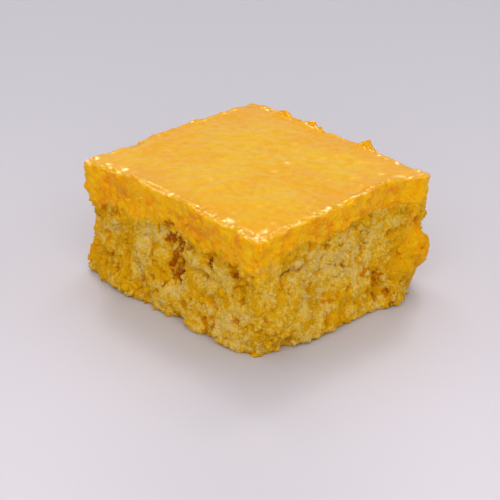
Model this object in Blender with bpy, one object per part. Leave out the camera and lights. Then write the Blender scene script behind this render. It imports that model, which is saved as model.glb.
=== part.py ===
"""A square serving of honey cornbread: a crumbly golden slab with honey set on its top and over its edges.

Metres, +Z up. The origin is the middle of the box around it, at the flat base that it rests on.
"""

import bmesh
import bpy
import numpy as np

MM = 0.001

# Driving sizes of the serving.
WIDTH = 77 * MM
DEPTH = 70 * MM
HEIGHT = 37 * MM
CORNER_RADIUS = 1.7 * MM

# What is torn or drawn in at a corner moves along a normal that turns over this distance from it.
CORNER_FAN = 8 * MM

# The honey's rim ends at least this far below the corners of the top.
LEAST_RUN = 3.3 * MM
SKIRT_THICKNESS = 1.1 * MM
GAP = 0.32 * MM
UPPER_FACE_INSET = 3.0 * MM

# The crumb's flat top, hidden under the honey.
CRUMB_TOP = HEIGHT - 2.0 * MM

# Quads along each side of the serving, and rows down the crumb's side.
CELLS_X = 38
CELLS_Y = 34
SIDE_ROWS = 18

# Rows over the crumb's shoulder, in the whole crumb, and round the honey's section.
SHOULDER_ROWS = 5
CRUMB_ROWS = SHOULDER_ROWS - 1 + SIDE_ROWS
HONEY_ROWS = 9

PERIMETER = 2 * (WIDTH + DEPTH)

# Where each upright face starts on the walk round the serving, which begins at the -X -Y corner.
FACE_STARTS = {"front": 0.0, "right": WIDTH, "back": WIDTH + DEPTH, "left": 2 * WIDTH + DEPTH}

# The side's lean: height above the base, then how far the crumb is drawn in there.
LEAN_HEIGHTS = np.array([0, 1.2, 4, 9, 14, 19, 25, 31, 37]) * MM
LEAN_DRAWN_IN = np.array([-0.4, -1.3, -1.5, -1.0, 0.1, 1.0, 0.7, 0.3, 0.0]) * MM

# Relief all over the side, finer than the torn places: the size of its bumps, and how deep they are.
CLUMP_SIZE, CLUMP_RELIEF = 7.0 * MM, 2.4 * MM
GRAIN_SIZE, GRAIN_RELIEF = 4.2 * MM, 1.5 * MM
SWELL_SIZE, SWELL_RELIEF = 14.0 * MM, 0.8 * MM
MEAN_BUMP = 0.8

# The bumps calm down over this height, from the first of these distances below the top to the second.
CALM_BELOW_TOP = 4 * MM
ROUGH_BELOW_TOP = 11 * MM

# The honey's upper face: its rise from the corners, more at the back left, then its swells and dimples.
DOME_RISE = 1.1 * MM
BACK_LEFT_RISE = 0.8 * MM
TOP_SWELL_SIZE, TOP_SWELL = 16 * MM, 0.3 * MM
DIMPLE_SIZE, DIMPLE = 5 * MM, 0.14 * MM

# Torn places and lumps, in mm: face, distance along it, height, half width, half height, depth.
# A lump has a negative depth. The distance along a face runs anticlockwise seen from above.
TORN_PLACES = [
    ("front", 32.0, 37.0, 22.0, 12.0, 1.0),
    ("front", 77.0, 2.0, 7.0, 6.5, 3.6),
    ("front", 0.0, 32.0, 6.0, 6.0, -0.9),
    ("front", 0.0, 6.0, 8.0, 9.0, 2.0),
    ("front", 40.5, 24.5, 5.0, 3.6, 3.4),
    ("front", 43.6, 16.0, 2.6, 5.0, 4.0),
    ("front", 48.0, 24.0, 2.0, 2.2, 1.8),
    ("front", 56.0, 22.5, 2.8, 2.4, 2.4),
    ("front", 53.0, 17.5, 5.0, 1.6, 1.6),
    ("front", 67.0, 22.0, 2.8, 2.4, 2.2),
    ("front", 29.0, 15.0, 6.5, 6.0, -1.0),
    ("front", 13.5, 11.0, 1.4, 7.0, 1.3),
    ("front", 8.5, 12.0, 1.6, 8.0, -0.9),
    ("front", 18.0, 3.0, 9.0, 4.5, -1.7),
    ("front", 1.0, 19.5, 4.0, 3.0, 1.4),
    ("right", 54.0, 36.0, 13.0, 12.0, 1.8),
    ("right", 36.0, 4.0, 20.0, 8.0, -1.0),
    ("right", 70.0, 31.0, 6.0, 8.0, -1.2),
    ("right", 12.0, 14.0, 9.5, 11.0, -2.0),
    ("right", 15.0, 23.6, 4.5, 1.2, 1.8),
    ("right", 25.5, 12.0, 4.0, 6.0, 1.6),
    ("right", 11.0, 1.5, 2.4, 3.2, 3.0),
    ("right", 23.0, 1.5, 7.0, 4.0, -1.8),
    ("right", 33.0, 6.0, 4.0, 3.0, 1.4),
    ("right", 47.5, 7.5, 2.6, 5.0, 3.0),
    ("right", 55.5, 13.0, 4.0, 3.6, 1.7),
    ("right", 53.5, 3.0, 4.6, 3.8, -1.8),
    ("right", 70.0, 2.0, 6.5, 5.5, 4.6),
    ("right", 68.0, 14.5, 5.0, 3.4, -1.9),
    ("right", 66.0, 21.0, 5.0, 3.0, 1.2),
    ("back", 14.0, 10.0, 6.0, 5.0, 2.4),
    ("back", 26.0, 20.0, 4.0, 6.0, 2.9),
    ("back", 40.0, 8.0, 9.0, 6.0, -1.8),
    ("back", 52.0, 22.0, 7.0, 2.0, 2.2),
    ("back", 64.0, 12.0, 3.0, 6.0, 2.6),
    ("left", 10.0, 6.0, 7.0, 4.5, -1.6),
    ("left", 22.0, 20.0, 5.0, 3.5, 2.8),
    ("left", 36.0, 12.0, 3.0, 6.0, 3.0),
    ("left", 47.0, 23.0, 6.0, 1.8, 2.0),
    ("left", 56.0, 9.0, 6.0, 6.0, -1.5),
]

# Where the honey has run further over the edge, in mm: face, distance along it, half width, extra run.
HONEY_RUNS = [
    ("front", 2.0, 8.0, 2.6),
    ("front", 22.0, 5.0, 1.2),
    ("front", 47.0, 7.0, 1.0),
    ("front", 73.5, 5.5, 3.2),
    ("right", 10.0, 4.0, 0.6),
    ("right", 34.0, 4.0, 0.8),
    ("right", 66.0, 6.0, 1.4),
    ("back", 18.0, 5.0, 1.6),
    ("back", 49.0, 7.0, 2.0),
    ("left", 12.0, 6.0, 1.4),
    ("left", 43.0, 5.0, 2.2),
]

# Glazed lumps that raise the honey's rim, and one dip, in mm: face, distance along it, half width, rise.
RIM_LUMPS = [
    ("back", 24.2, 2.2, 2.5),
    ("back", 48.4, 2.3, 1.4),
    ("back", 61.0, 2.6, 1.2),
    ("back", 66.0, 9.0, 0.5),
    ("left", 12.0, 9.0, 0.5),
    ("left", 51.4, 3.6, -1.1),
    ("right", 50.0, 9.0, 1.2),
    ("front", 21.0, 4.0, 0.6),
    ("front", 46.0, 4.0, 0.7),
    ("front", 67.0, 3.0, 0.4),
]


def lattice_values(cells, seed):
    """A fixed random number from 0 to 1 for each whole-numbered cell, by mixing the cell's three integers."""
    cells = cells.astype(np.int64)
    mixed = cells[..., 0] * 374761393 + cells[..., 1] * 668265263 + cells[..., 2] * 1440662683
    mixed = (mixed + seed * 974634777) & 0xFFFFFFFF
    mixed = ((mixed ^ (mixed >> 13)) * 1274126177) & 0xFFFFFFFF
    return ((mixed ^ (mixed >> 16)) & 0xFFFFFF) / 0x1000000


def smooth_noise(points, size, seed):
    """Smooth noise from -1 to 1 whose swells are about `size` across: cell corners blended by an S curve."""
    scaled = points / size
    cells = np.floor(scaled)
    part = scaled - cells
    part = part * part * (3 - 2 * part)
    total = np.zeros(len(points))
    for corner in np.ndindex(2, 2, 2):
        weight = np.prod(np.where(corner, part, 1 - part), axis=1)
        total += weight * lattice_values(cells + corner, seed)
    return 2 * total - 1


def clump_height(points, size, seed):
    """From 0 between clumps to 1 on top of one: each cell holds one clump, round about a random point."""
    scaled = points / size
    cells = np.floor(scaled)
    nearest = np.full(len(points), 9.0)
    for step in np.ndindex(3, 3, 3):
        cell = cells + np.array(step) - 1
        middle = cell + np.stack([lattice_values(cell, seed + axis) for axis in range(3)], axis=1)
        nearest = np.minimum(nearest, np.linalg.norm(scaled - middle, axis=1))
    return np.sqrt(np.clip(1 - nearest**2, 0, 1))


def around(face, along_mm):
    """The distance round the serving of a place on one of its faces."""
    return FACE_STARTS[face] + along_mm * MM


def walk_apart(distance, middle):
    """How far past the middle each place is, on the closed walk round the serving."""
    return (distance - middle + PERIMETER / 2) % PERIMETER - PERIMETER / 2


def hump(distance, middle, half_width):
    """1 at the middle, falling off as a bell over the half width."""
    return np.exp(-((walk_apart(distance, middle) / half_width) ** 2))


def box_grid(name, rows):
    """A unit cube primitive, cut into CELLS_X by CELLS_Y by `rows` quads."""
    mesh = bmesh.new()
    bmesh.ops.create_cube(mesh, size=1.0)
    for axis, cells in enumerate((CELLS_X, CELLS_Y, rows)):
        along = [e for e in mesh.edges if abs(e.verts[0].co[axis] - e.verts[1].co[axis]) > 0.5]
        bmesh.ops.subdivide_edges(mesh, edges=along, cuts=cells - 1, use_grid_fill=True)
    data = bpy.data.meshes.new(name)
    mesh.to_mesh(data)
    mesh.free()
    return data


def grid_places(data):
    """The unit cube's points, as an array."""
    places = np.empty(len(data.vertices) * 3, np.float32)
    data.vertices.foreach_get("co", places)
    return places.reshape(-1, 3).astype(float)


def rounded(x, y):
    """Rounds the corners of the square plan: there, squares of points become quarter circles."""
    over_x = np.abs(x) - (WIDTH / 2 - CORNER_RADIUS)
    over_y = np.abs(y) - (DEPTH / 2 - CORNER_RADIUS)
    corner = (over_x > 0) & (over_y > 0)
    reach = np.maximum(over_x, over_y)
    length = np.where(corner, np.hypot(over_x, over_y), 1)
    new_x = np.where(corner, WIDTH / 2 - CORNER_RADIUS + reach * over_x / length, np.abs(x))
    new_y = np.where(corner, DEPTH / 2 - CORNER_RADIUS + reach * over_y / length, np.abs(y))
    return np.copysign(new_x, x), np.copysign(new_y, y)


def outline_of(unit):
    """For points on the cube's upright faces: their place on the outline, the way outward, and the walk."""
    x, y = unit[:, 0] * WIDTH, unit[:, 1] * DEPTH
    plan_x, plan_y = rounded(x, y)
    away_x = np.clip(np.abs(x) - (WIDTH / 2 - CORNER_FAN), 0, None)
    away_y = np.clip(np.abs(y) - (DEPTH / 2 - CORNER_FAN), 0, None)
    normal = np.stack([np.copysign(away_x, x), np.copysign(away_y, y)], axis=1)
    normal /= np.maximum(np.linalg.norm(normal, axis=1, keepdims=True), 1e-12)
    sides = [unit[:, 1] < -0.4999, unit[:, 0] > 0.4999, unit[:, 1] > 0.4999, unit[:, 0] < -0.4999]
    walks = [
        x + WIDTH / 2,
        WIDTH + y + DEPTH / 2,
        WIDTH + DEPTH + WIDTH / 2 - x,
        2 * WIDTH + DEPTH + DEPTH / 2 - y,
    ]
    return np.stack([plan_x, plan_y], axis=1), normal, np.select(sides, walks, 0.0)


def honey_run(distance):
    """How far below the top the honey's rim ends: a least run, lobes from noise and the named longer runs."""
    angle = 2 * np.pi * distance / PERIMETER
    circle = np.stack([np.cos(angle), np.sin(angle), 0 * angle], axis=1) * PERIMETER / (2 * np.pi)
    run = LEAST_RUN + 0.9 * MM * (1 + smooth_noise(circle, 9 * MM, seed=5))
    for face, along, half_width, extra in HONEY_RUNS:
        run = run + extra * MM * hump(distance, around(face, along), half_width * MM)
    return run


def drawn_in(plan, distance, height):
    """How far the crumb's side lies inside the outline: its lean, the torn places and the finer relief."""
    amount = np.interp(height, LEAN_HEIGHTS, LEAN_DRAWN_IN)
    for face, along, middle, half_width, half_height, depth in TORN_PLACES:
        out = walk_apart(distance, around(face, along)) / (half_width * MM)
        up = (height - middle * MM) / (half_height * MM)
        amount = amount + depth * MM * np.exp(-((out**2 + up**2) ** 1.5))
    points = np.column_stack([plan, height])
    below_calm = HEIGHT - CALM_BELOW_TOP - height
    rough = np.clip(below_calm / (ROUGH_BELOW_TOP - CALM_BELOW_TOP), 0.1, 1)
    clumps = CLUMP_RELIEF * (MEAN_BUMP - clump_height(points, CLUMP_SIZE, seed=11))
    grains = GRAIN_RELIEF * (MEAN_BUMP - clump_height(points, GRAIN_SIZE, seed=23))
    swells = SWELL_RELIEF * smooth_noise(points, SWELL_SIZE, seed=3)
    return amount + rough * (clumps + grains) + (0.35 + 0.65 * rough) * swells


def rim_lump(distance):
    """How far a glazed lump stands out of the honey's rim at this place."""
    rise = np.zeros(len(distance))
    for face, along, half_width, height in RIM_LUMPS:
        rise = rise + height * MM * hump(distance, around(face, along), half_width * MM)
    return rise


def honey_top(x, y):
    """The height of the honey's upper face: least at the corners, with slow swells and shallow dimples."""
    to_right, to_back = 2 * x / WIDTH, 2 * y / DEPTH
    dome = DOME_RISE * (1 - (to_right * to_back) ** 2)
    back_left = BACK_LEFT_RISE * (1 - to_right) * (1 + to_back) / 4
    points = np.stack([x, y, 0 * x], axis=1)
    swells = TOP_SWELL * smooth_noise(points, TOP_SWELL_SIZE, seed=7)
    dimples = DIMPLE * smooth_noise(points, DIMPLE_SIZE, seed=8)
    return HEIGHT + dome + back_left + swells + dimples


def by_row(row, values):
    """Picks each point's value by its row from a list, where a value is one number or one for each point."""
    table = np.stack([np.broadcast_to(value, row.shape) for value in values])
    return np.take_along_axis(table, row[None], axis=0)[0]


def side_places(plan, normal, inset, amount, height):
    """Points of the side: shrunk to the middle by the inset, then drawn in along the normal by the amount."""
    shrunk = plan * (1 - 2 * inset[:, None] / np.array([WIDTH, DEPTH]))
    return np.column_stack([shrunk - normal * amount[:, None], height])


def crumb_places(unit):
    """The crumb: from its flat top, over the shoulder under the honey, down the torn side to the base."""
    plan, normal, distance = outline_of(unit)
    row = np.rint((0.5 - unit[:, 2]) * CRUMB_ROWS).astype(int)
    ledge = HEIGHT - honey_run(distance)
    top_of_side = ledge - 0.25 * MM
    share_down = np.clip((row - SHOULDER_ROWS + 1) / SIDE_ROWS, 0, 1)
    shoulder_row = np.minimum(row, SHOULDER_ROWS - 1)
    middle = 0.55 * CRUMB_TOP + 0.45 * ledge
    shoulder = by_row(shoulder_row, [CRUMB_TOP, CRUMB_TOP - 0.35 * MM, middle, ledge, top_of_side])
    height = np.where(row < SHOULDER_ROWS, shoulder, top_of_side * (1 - share_down))
    inset = by_row(shoulder_row, [3.6 * MM, 2.2 * MM, 1.7 * MM, SKIRT_THICKNESS + GAP, 0.0])
    amount = drawn_in(plan, distance, np.where(row < SHOULDER_ROWS, ledge, height))
    return side_places(plan, normal, inset, amount, height)


def upper_face(unit):
    """The honey's upper face: a grid shrunk to lie inside the rim, and drawn in with the edges near it."""
    x, y = unit[:, 0] * WIDTH, unit[:, 1] * DEPTH
    half_width, half_depth = WIDTH / 2 + 0 * x, DEPTH / 2 + 0 * y
    to_right, to_back = unit[:, 0] + 0.5, unit[:, 1] + 0.5
    edges = [
        (x, -half_depth, x + WIDTH / 2, 1 - to_back, (0, 1)),
        (half_width, y, WIDTH + y + DEPTH / 2, to_right, (-1, 0)),
        (x, half_depth, WIDTH + DEPTH + WIDTH / 2 - x, to_back, (0, -1)),
        (-half_width, y, 2 * WIDTH + DEPTH + DEPTH / 2 - y, 1 - to_right, (1, 0)),
    ]
    plan = np.stack([x, y], axis=1) * (1 - 2 * UPPER_FACE_INSET / np.array([WIDTH, DEPTH]))
    for edge_x, edge_y, distance, nearness, inward in edges:
        amount = drawn_in(np.stack([edge_x, edge_y], axis=1), distance, HEIGHT - honey_run(distance))
        plan = plan + (nearness**2 * amount)[:, None] * np.array(inward)
    return np.column_stack([plan, honey_top(plan[:, 0], plan[:, 1])])


def honey_places(unit):
    """The honey: its upper face, the rounded rim, the skirt down to its edge, and back up along the crumb."""
    plan, normal, distance = outline_of(unit)
    row = np.rint((0.5 - unit[:, 2]) * HONEY_ROWS).astype(int)
    ledge = HEIGHT - honey_run(distance)
    lump = rim_lump(distance)
    top = honey_top(plan[:, 0], plan[:, 1]) + lump
    edge = ledge + GAP
    # Each row round the section: how far inside the crumb's side it lies, and its height.
    section = [
        (2.9 * MM, top),
        (1.5 * MM, top - 0.12 * MM),
        (0.5 * MM, top - 0.6 * MM),
        (0.0, 0.6 * (top - 1.0 * MM) + 0.4 * edge),
        (-0.05 * MM, 0.15 * (top - 1.0 * MM) + 0.85 * edge),
        (0.35 * MM, edge),
        (SKIRT_THICKNESS, edge + 0.1 * MM),
        (1.7 * MM - GAP, 0.55 * CRUMB_TOP + 0.45 * ledge + 0.3 * GAP),
        (2.2 * MM - 0.7 * GAP, CRUMB_TOP - 0.35 * MM + 0.8 * GAP),
        (3.6 * MM - 0.1 * GAP, CRUMB_TOP + GAP),
    ]
    inset = by_row(row, [inside for inside, _ in section])
    amount = drawn_in(plan, distance, ledge) - np.where(row < 5, 0.4 * lump, 0)
    places = side_places(plan, normal, inset, amount, by_row(row, [up for _, up in section]))
    upper = np.max(np.abs(unit[:, :2]), axis=1) < 0.4999
    places[upper] = upper_face(unit[upper])
    return places


def flatten_caps(data, ends):
    """Makes one face of each flat end of a box grid, in place of its many hidden quads."""
    mesh = bmesh.new()
    mesh.from_mesh(data)
    for end in ends:
        flat = [f for f in mesh.faces if all(abs(v.co.z - end) < 1e-6 for v in f.verts)]
        bmesh.ops.dissolve_faces(mesh, faces=flat, use_verts=False)
    mesh.to_mesh(data)
    mesh.free()


def plain_material(name, colour, roughness):
    """A Principled BSDF of one colour."""
    material = bpy.data.materials.new(name)
    material.use_nodes = True
    shader = material.node_tree.nodes["Principled BSDF"]
    shader.inputs["Base Color"].default_value = (*colour, 1)
    shader.inputs["Roughness"].default_value = roughness
    shader.inputs["Metallic"].default_value = 0
    material.diffuse_color = (*colour, 1)
    return material


def add_piece(collection, name, rows, place, ends, material):
    """Cuts a cube into a grid, moves its points to their places, and adds it as one named object."""
    data = box_grid(name, rows)
    flatten_caps(data, ends)
    places = place(grid_places(data))
    data.vertices.foreach_set("co", places.astype(np.float32).ravel())
    data.update()
    data.materials.append(material)
    data.shade_smooth()
    data.set_sharp_from_angle(angle=np.radians(50))
    piece = bpy.data.objects.new(name, data)
    collection.objects.link(piece)
    return piece


def centre_on_base(pieces):
    """Shifts all the pieces alike, so that the box around them stands centred on the origin."""
    corners = np.concatenate([grid_places(piece.data) for piece in pieces])
    middle = (corners.min(axis=0) + corners.max(axis=0)) / 2
    shift = -np.array([middle[0], middle[1], corners[:, 2].min()])
    for piece in pieces:
        places = grid_places(piece.data) + shift
        piece.data.vertices.foreach_set("co", places.astype(np.float32).ravel())
        piece.data.update()


def main():
    for old in list(bpy.data.objects):
        bpy.data.objects.remove(old)
    serving = bpy.data.collections.new("honey_cornbread")
    bpy.context.scene.collection.children.link(serving)
    crumb_colour = plain_material("crumb", (0.62, 0.36, 0.06), 0.9)
    honey_colour = plain_material("honey", (0.85, 0.42, 0.02), 0.25)
    crumb = add_piece(serving, "cornbread", CRUMB_ROWS, crumb_places, (0.5, -0.5), crumb_colour)
    honey = add_piece(serving, "honey_glaze", HONEY_ROWS, honey_places, (-0.5,), honey_colour)
    centre_on_base([crumb, honey])


main()
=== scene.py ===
"""A square serving of honey cornbread, dressed: torn crumb, clinging crumbs and set honey."""

import bmesh
import bpy
import numpy as np
from mathutils import Matrix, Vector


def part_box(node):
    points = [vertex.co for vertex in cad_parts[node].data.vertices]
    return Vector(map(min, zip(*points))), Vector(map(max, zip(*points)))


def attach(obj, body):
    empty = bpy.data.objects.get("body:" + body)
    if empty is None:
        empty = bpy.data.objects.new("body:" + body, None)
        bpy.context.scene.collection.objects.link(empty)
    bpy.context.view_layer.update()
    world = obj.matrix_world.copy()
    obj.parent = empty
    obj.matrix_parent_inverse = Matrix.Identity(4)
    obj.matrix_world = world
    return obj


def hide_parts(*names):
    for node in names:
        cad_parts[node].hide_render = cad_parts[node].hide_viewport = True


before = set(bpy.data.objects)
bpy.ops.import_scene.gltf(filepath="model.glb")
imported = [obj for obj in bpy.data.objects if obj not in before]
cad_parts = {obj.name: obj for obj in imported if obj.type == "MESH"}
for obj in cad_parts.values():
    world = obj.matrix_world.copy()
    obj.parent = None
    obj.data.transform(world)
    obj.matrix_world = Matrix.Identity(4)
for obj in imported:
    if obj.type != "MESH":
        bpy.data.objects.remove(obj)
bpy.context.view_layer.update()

# The cornbread slab
# Baked corn batter, cut from its pan and torn apart at the sides, so its faces are crags of moist crumb.
# One closed surface goes round the outline, from the middle of its top to the middle of its underside.
MM = 0.001
WIDTH, DEPTH, HEIGHT = 77 * MM, 70 * MM, 37 * MM
CORNER_RADIUS = 1.7 * MM
CORNER_FAN = 8 * MM
PERIMETER = 2 * (WIDTH + DEPTH)
CRUMB_TOP = HEIGHT - 2.0 * MM
SKIRT_THICKNESS = 1.1 * MM
CRUMB_TO_SKIRT = 0.32 * MM

SLAB_COLUMNS = 800
SLAB_SIDE_ROWS = 92

# Every place on a side is given by its face and its distance along it, on one walk round the four faces.
FACE_STARTS = {"front": 0.0, "right": WIDTH, "back": WIDTH + DEPTH, "left": 2 * WIDTH + DEPTH}

# The side's lean: height above the base, then how far the crumb is drawn in there.
LEAN_HEIGHTS = np.array([0, 1.2, 4, 9, 14, 19, 25, 31, 37]) * MM
LEAN_DRAWN_IN = np.array([-0.4, -1.3, -1.5, -1.0, 0.1, 1.0, 0.7, 0.3, 0.0]) * MM

# The sides' large relief, the same as the solid's: calm just under the top, and full further down.
CLUMP_SIZE, CLUMP_RELIEF = 7.0 * MM, 2.4 * MM
GRAIN_SIZE, GRAIN_RELIEF = 4.2 * MM, 1.5 * MM
SWELL_SIZE, SWELL_RELIEF = 14.0 * MM, 0.8 * MM
MEAN_BUMP = 0.8
CALM_BELOW_TOP = 4 * MM
ROUGH_BELOW_TOP = 11 * MM

# Torn places and lumps, in mm: face, distance along it, height, half width, half height, and depth, which
# is below 0 for a lump.
TORN_PLACES = [
    ("front", 32.0, 37.0, 22.0, 12.0, 1.0),
    ("front", 77.0, 2.0, 7.0, 6.5, 3.6),
    ("front", 0.0, 32.0, 6.0, 6.0, -0.9),
    ("front", 0.0, 6.0, 8.0, 9.0, 2.0),
    ("front", 39.6, 24.5, 5.2, 3.8, 2.3),
    ("front", 42.4, 16.0, 3.6, 5.2, 2.3),
    ("front", 48.0, 24.0, 2.0, 2.2, 1.8),
    ("front", 56.0, 22.5, 2.8, 2.4, 1.7),
    ("front", 53.0, 17.5, 5.0, 1.6, 1.6),
    ("front", 67.0, 22.0, 2.8, 2.4, 1.6),
    ("front", 29.0, 15.0, 6.5, 6.0, -1.0),
    ("front", 13.5, 11.0, 1.4, 7.0, 1.3),
    ("front", 8.5, 12.0, 1.6, 8.0, -0.9),
    ("front", 18.0, 3.0, 9.0, 4.5, -1.7),
    ("front", 36.0, 1.0, 2.6, 2.6, -1.0),
    ("front", 44.5, 1.0, 2.0, 2.4, 1.2),
    ("front", 52.0, 1.2, 3.0, 3.0, -1.1),
    ("front", 59.5, 0.8, 2.0, 2.2, 1.3),
    ("front", 1.0, 19.5, 4.0, 3.0, 1.4),
    ("right", 54.0, 36.0, 13.0, 12.0, 1.8),
    ("right", 36.0, 4.0, 20.0, 8.0, -1.0),
    ("right", 70.0, 31.0, 6.0, 8.0, -1.2),
    ("right", 12.0, 14.0, 9.5, 11.0, -2.0),
    ("right", 15.0, 23.6, 4.5, 1.2, 1.8),
    ("right", 25.5, 12.0, 4.0, 6.0, 1.6),
    ("right", 11.0, 1.5, 2.4, 3.2, 3.0),
    ("right", 23.0, 1.5, 7.0, 4.0, -1.8),
    ("right", 33.0, 6.0, 4.0, 3.0, 1.4),
    ("right", 47.5, 7.5, 2.6, 5.0, 3.0),
    ("right", 55.5, 13.0, 4.0, 3.6, 1.7),
    ("right", 53.5, 3.0, 4.6, 3.8, -1.8),
    ("right", 70.0, 2.0, 6.5, 5.5, 4.6),
    ("right", 68.0, 14.5, 5.0, 3.4, -1.9),
    ("right", 66.0, 21.0, 5.0, 3.0, 1.2),
    ("back", 14.0, 10.0, 6.0, 5.0, 2.4),
    ("back", 26.0, 20.0, 4.0, 6.0, 2.9),
    ("back", 40.0, 8.0, 9.0, 6.0, -1.8),
    ("back", 52.0, 22.0, 7.0, 2.0, 2.2),
    ("back", 64.0, 12.0, 3.0, 6.0, 2.6),
    ("left", 10.0, 6.0, 7.0, 4.5, -1.6),
    ("left", 22.0, 20.0, 5.0, 3.5, 2.8),
    ("left", 36.0, 12.0, 3.0, 6.0, 3.0),
    ("left", 47.0, 23.0, 6.0, 1.8, 2.0),
    ("left", 56.0, 9.0, 6.0, 6.0, -1.5),
]

# Where the honey has run further over the edge, in mm: face, distance along it, half width, extra run.
LEAST_RUN = 3.3 * MM
HONEY_RUNS = [
    ("front", 2.0, 8.0, 2.6),
    ("front", 22.0, 5.0, 1.2),
    ("front", 47.0, 7.0, 1.0),
    ("front", 73.5, 5.5, 3.2),
    ("right", 10.0, 4.0, 0.6),
    ("right", 34.0, 4.0, 0.8),
    ("right", 66.0, 6.0, 1.4),
    ("back", 18.0, 5.0, 1.6),
    ("back", 49.0, 7.0, 2.0),
    ("left", 12.0, 6.0, 1.4),
    ("left", 43.0, 5.0, 2.2),
]


def lattice_values(cells, seed):
    """A fixed random number from 0 to 1 for each cell, mixed from its three whole numbers."""
    cells = cells.astype(np.int64)
    mixed = cells[..., 0] * 374761393 + cells[..., 1] * 668265263 + cells[..., 2] * 1440662683
    mixed = (mixed + seed * 974634777) & 0xFFFFFFFF
    mixed = ((mixed ^ (mixed >> 13)) * 1274126177) & 0xFFFFFFFF
    return ((mixed ^ (mixed >> 16)) & 0xFFFFFF) / 0x1000000


def smooth_noise(points, size, seed):
    """Noise from -1 to 1 with swells about `size` across: the cells' corners blended by an S curve."""
    scaled = points / size
    cells = np.floor(scaled)
    part = scaled - cells
    part = part * part * (3 - 2 * part)
    total = np.zeros(points.shape[:-1])
    for corner in np.ndindex(2, 2, 2):
        weight = np.prod(np.where(corner, part, 1 - part), axis=-1)
        total += weight * lattice_values(cells + corner, seed)
    return 2 * total - 1


def clump_height(points, size, seed):
    """From 0 between clumps to 1 on top of one: each cell holds one clump, round about a random point."""
    scaled = points / size
    cells = np.floor(scaled)
    nearest = np.full(points.shape[:-1], 9.0)
    for step in np.ndindex(3, 3, 3):
        cell = cells + np.array(step) - 1
        middle = cell + np.stack([lattice_values(cell, seed + axis) for axis in range(3)], axis=-1)
        nearest = np.minimum(nearest, np.linalg.norm(scaled - middle, axis=-1))
    return np.sqrt(np.clip(1 - nearest**2, 0, 1))


def around(face, along_mm):
    """The distance round the serving of a place on one of its faces."""
    return FACE_STARTS[face] + along_mm * MM


def walk_apart(distance, middle):
    """How far past the middle each place is, on the closed walk round the serving."""
    return (distance - middle + PERIMETER / 2) % PERIMETER - PERIMETER / 2


def hump(distance, middle, half_width):
    """1 at the middle, falling off as a bell over the half width."""
    return np.exp(-((walk_apart(distance, middle) / half_width) ** 2))


def outline_at(distance):
    """The outline's point after this walk along the four sides, with round corners, and the way outward."""
    walk = distance % PERIMETER
    corners = np.array([0, WIDTH, WIDTH + DEPTH, 2 * WIDTH + DEPTH, PERIMETER])
    x = np.interp(walk, corners, np.array([-1, 1, 1, -1, -1]) * WIDTH / 2)
    y = np.interp(walk, corners, np.array([-1, -1, 1, 1, -1]) * DEPTH / 2)
    over_x = np.abs(x) - (WIDTH / 2 - CORNER_RADIUS)
    over_y = np.abs(y) - (DEPTH / 2 - CORNER_RADIUS)
    in_corner = (over_x > 0) & (over_y > 0)
    length = np.where(in_corner, np.hypot(over_x, over_y), 1)
    round_x = np.where(in_corner, WIDTH / 2 - CORNER_RADIUS + CORNER_RADIUS * over_x / length, np.abs(x))
    round_y = np.where(in_corner, DEPTH / 2 - CORNER_RADIUS + CORNER_RADIUS * over_y / length, np.abs(y))
    away_x = np.clip(np.abs(x) - (WIDTH / 2 - CORNER_FAN), 0, None)
    away_y = np.clip(np.abs(y) - (DEPTH / 2 - CORNER_FAN), 0, None)
    outward = np.stack([np.copysign(away_x, x), np.copysign(away_y, y)], axis=-1)
    outward /= np.linalg.norm(outward, axis=-1, keepdims=True)
    return np.stack([np.copysign(round_x, x), np.copysign(round_y, y)], axis=-1), outward


def honey_run(distance):
    """How far below the top the honey ends: a least run, lobes from noise and the named longer runs."""
    angle = 2 * np.pi * distance / PERIMETER
    circle = np.stack([np.cos(angle), np.sin(angle), 0 * angle], axis=-1) * PERIMETER / (2 * np.pi)
    run = LEAST_RUN + 0.9 * MM * (1 + smooth_noise(circle, 9 * MM, seed=5))
    for face, along, half_width, extra in HONEY_RUNS:
        run = run + extra * MM * hump(distance, around(face, along), half_width * MM)
    return run


def sum_of_places(distance, height, places):
    """The sum of the places there: each is full in its middle and falls off as exp(-(r squared)^1.5)."""
    total = np.zeros(np.broadcast(distance, height).shape)
    for face, along, middle, half_width, half_height, strength in places:
        out = walk_apart(distance, around(face, along)) / (half_width * MM)
        up = (height - middle * MM) / (half_height * MM)
        total = total + strength * np.exp(-((out**2 + up**2) ** 1.5))
    return total


def drawn_in(plan, distance, height):
    """How far the crumb's side lies inside the outline: its lean, the torn places and the large clumps."""
    points = np.concatenate([plan, height[..., None]], axis=-1)
    rough = np.clip((HEIGHT - CALM_BELOW_TOP - height) / (ROUGH_BELOW_TOP - CALM_BELOW_TOP), 0.1, 1)
    clumps = CLUMP_RELIEF * (MEAN_BUMP - clump_height(points, CLUMP_SIZE, seed=11))
    grains = GRAIN_RELIEF * (MEAN_BUMP - clump_height(points, GRAIN_SIZE, seed=23))
    swells = SWELL_RELIEF * smooth_noise(points, SWELL_SIZE, seed=3)
    lean = np.interp(height, LEAN_HEIGHTS, LEAN_DRAWN_IN)
    large = rough * (clumps + grains) + (0.35 + 0.65 * rough) * swells
    return lean + MM * sum_of_places(distance, height, TORN_PLACES) + large


def side_points(plan, outward, inset, amount, height):
    """Points of the side: shrunk to the middle by the inset, then drawn in along the way outward."""
    shrunk = plan * (1 - 2 * inset[..., None] / np.array([WIDTH, DEPTH]))
    return np.concatenate([shrunk - outward * amount[..., None], height[..., None]], axis=-1)


def profile_rings(plan, outward, amount, profile):
    """A ring round the serving for each inset and height of a profile."""
    rings = []
    for inset, height in profile:
        rings.append(side_points(plan, outward, inset + 0 * amount, amount, height + 0 * amount))
    return np.stack(rings)


# Just below the honey the crumb is drawn in, so that its upper edge lies tucked under the skirt.
TUCKED_UNDER, TUCK_HEIGHT, BELOW_HONEY = 0.55 * MM, 1.3 * MM, 0.25 * MM


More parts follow.
